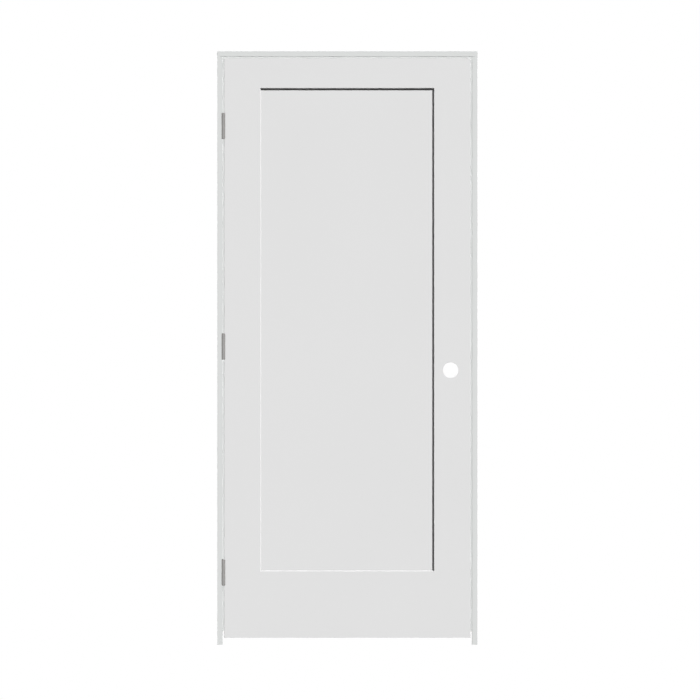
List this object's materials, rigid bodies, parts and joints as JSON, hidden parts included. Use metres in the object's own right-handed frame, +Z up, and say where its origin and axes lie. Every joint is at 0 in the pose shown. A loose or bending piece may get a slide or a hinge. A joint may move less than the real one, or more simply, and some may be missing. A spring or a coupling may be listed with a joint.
{
  "type": "prehung interior door",
  "caption": "Flat recessed-panel shaker slab hung on butt hinges in a flat wooden jamb with stops, bored for a knob or lever set.",
  "frame": {"origin": "on the hinge jamb's back face, at the middle of the jamb's depth and at the floor", "axes": "+X from the hinge jamb to the strike jamb, +Y away from the side that the door opens towards, +Z up"},
  "size_m": [0.9117, 0.1366, 2.0803],
  "materials": {
    "slab_primer": "factory-primed white on a smooth composite face",
    "jamb_primer": "factory-primed white on finger-jointed pine, raw on the back",
    "satin_nickel": "satin nickel plate"
  },
  "bodies": {
    "frame": {"hinge_jamb": "jamb_primer", "strike_jamb": "jamb_primer", "head_jamb": "jamb_primer", "hinge_stop": "jamb_primer", "strike_stop": "jamb_primer", "head_stop": "jamb_primer", "top_hinge_frame_leaf": "satin_nickel", "top_hinge_pin": "satin_nickel", "top_hinge_tip": "satin_nickel", "middle_hinge_frame_leaf": "satin_nickel", "middle_hinge_pin": "satin_nickel", "middle_hinge_tip": "satin_nickel", "bottom_hinge_frame_leaf": "satin_nickel", "bottom_hinge_pin": "satin_nickel", "bottom_hinge_tip": "satin_nickel"},
    "door": {"hinge_stile": "slab_primer", "lock_stile": "slab_primer", "top_rail": "slab_primer", "bottom_rail": "slab_primer", "panel": "slab_primer", "top_hinge_door_leaf": "satin_nickel", "middle_hinge_door_leaf": "satin_nickel", "bottom_hinge_door_leaf": "satin_nickel"}
  },
  "joints": [
    {"name": "door_swing", "type": "hinge", "parent": "frame", "child": "door", "pos_m": [0.02155, -0.0723, 0], "axis": [0, 0, -1], "range_deg": [0, 180]}
  ]
}
